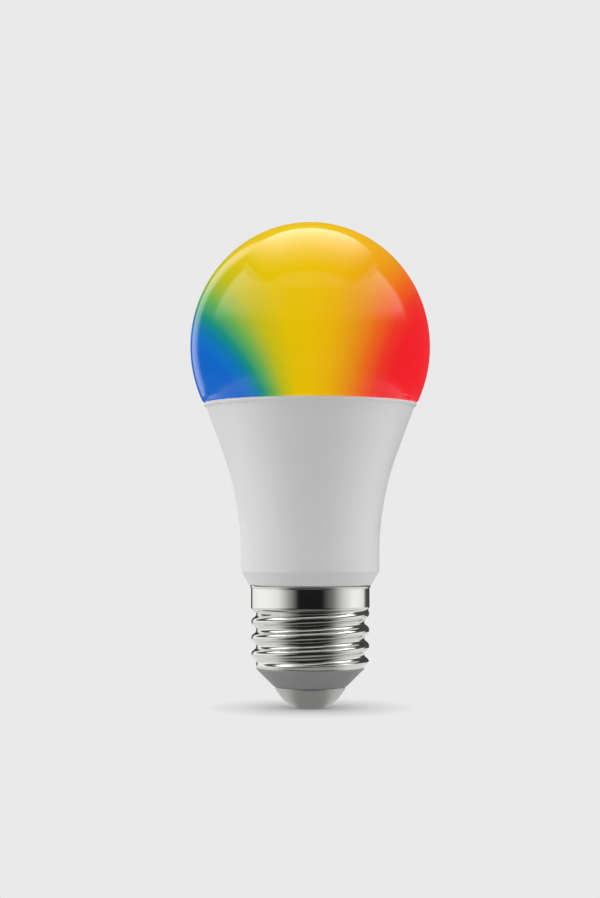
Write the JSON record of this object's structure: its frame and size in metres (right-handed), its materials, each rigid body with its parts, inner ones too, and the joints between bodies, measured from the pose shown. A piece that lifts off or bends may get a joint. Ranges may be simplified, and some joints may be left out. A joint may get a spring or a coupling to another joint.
{
  "type": "smart light bulb",
  "caption": "Screw-base LED bulb with a rounded diffuser dome, a flared plastic housing and a threaded metal cap, with its LED board, driver and radio board inside.",
  "frame": {"origin": "centre of the underside of the centre contact, the bulb's lowest point", "axes": "+Z along the bulb's axis, from the centre contact to the top of the dome; the thread's highest crest on +X at 21.0 mm"},
  "size_m": [0.054, 0.054, 0.109],
  "materials": {
    "dome_plastic": "translucent dome lit from inside in a blend of blue, green, yellow, orange and red, gloss",
    "sealant": "cured silicone",
    "housing_plastic": "white moulded thermoplastic, fine satin",
    "plated_cap": "nickel plated sheet, polished by rolling",
    "insulator_plastic": "grey moulded insulator, matt",
    "plated_contact": "nickel plated, satin",
    "pressed_aluminium": "drawn aluminium",
    "thermal_compound": "matt compound",
    "white_solder_mask": "white solder mask over aluminium",
    "screw_steel": "zinc plated",
    "led_package": "moulded",
    "cool_phosphor": "cured silicone fill",
    "warm_phosphor": "cured silicone fill",
    "red_lens": "clear tinted lens",
    "green_lens": "clear tinted lens",
    "blue_lens": "clear tinted lens",
    "chip_epoxy": "moulded epoxy",
    "connector_plastic": "moulded",
    "tinned_copper": "tinned",
    "board_laminate": "green solder mask",
    "resistor_paint": "fired coating",
    "varistor_coating": "dipped epoxy",
    "capacitor_can": "drawn can",
    "capacitor_sleeve": "shrunk sleeve",
    "ferrite": "sintered",
    "enamelled_copper": "close wound enamelled wire",
    "bobbin_plastic": "moulded",
    "winding_tape": "wrapped tape",
    "ceramic_chip": "fired ceramic",
    "radio_laminate": "blue solder mask",
    "gold_trace": "gold flash over copper",
    "crystal_can": "plated lid",
    "live_insulation": "wire insulation",
    "neutral_insulation": "wire insulation"
  },
  "bodies": {
    "root": {"diffuser_dome": "dome_plastic", "dome_sealant": "sealant", "housing_shell": "housing_plastic", "cap_shell": "plated_cap", "cap_insulator": "insulator_plastic", "centre_contact": "plated_contact", "heat_sink": "pressed_aluminium", "thermal_pad": "thermal_compound", "led_board": "white_solder_mask", "board_screws": "screw_steel", "white_led_bodies": "led_package", "cool_white_phosphor": "cool_phosphor", "warm_white_phosphor": "warm_phosphor", "colour_led_bodies": "led_package", "red_led_lenses": "red_lens", "green_led_lenses": "green_lens", "blue_led_lenses": "blue_lens", "led_current_chips": "chip_epoxy", "led_board_resistors": "chip_epoxy", "led_board_socket": "connector_plastic", "driver_output_pins": "tinned_copper", "driver_board": "board_laminate", "fuse_resistor": "resistor_paint", "varistor": "varistor_coating", "bridge_rectifier": "chip_epoxy", "input_capacitor_can": "capacitor_can", "input_capacitor_sleeve": "capacitor_sleeve", "filter_choke_core": "ferrite", "filter_choke_winding": "enamelled_copper", "transformer_core": "ferrite", "transformer_bobbin": "bobbin_plastic", "transformer_winding": "winding_tape", "driver_chip": "chip_epoxy", "output_diode": "chip_epoxy", "output_capacitor_can": "capacitor_can", "output_capacitor_sleeve": "capacitor_sleeve", "smd_resistors": "chip_epoxy", "smd_capacitors": "ceramic_chip", "wifi_board": "radio_laminate", "wifi_antenna": "gold_trace", "wifi_chip": "chip_epoxy", "wifi_crystal": "crystal_can", "wifi_pins": "gold_trace", "live_wire": "live_insulation", "neutral_wire": "neutral_insulation"}
  },
  "joints": []
}
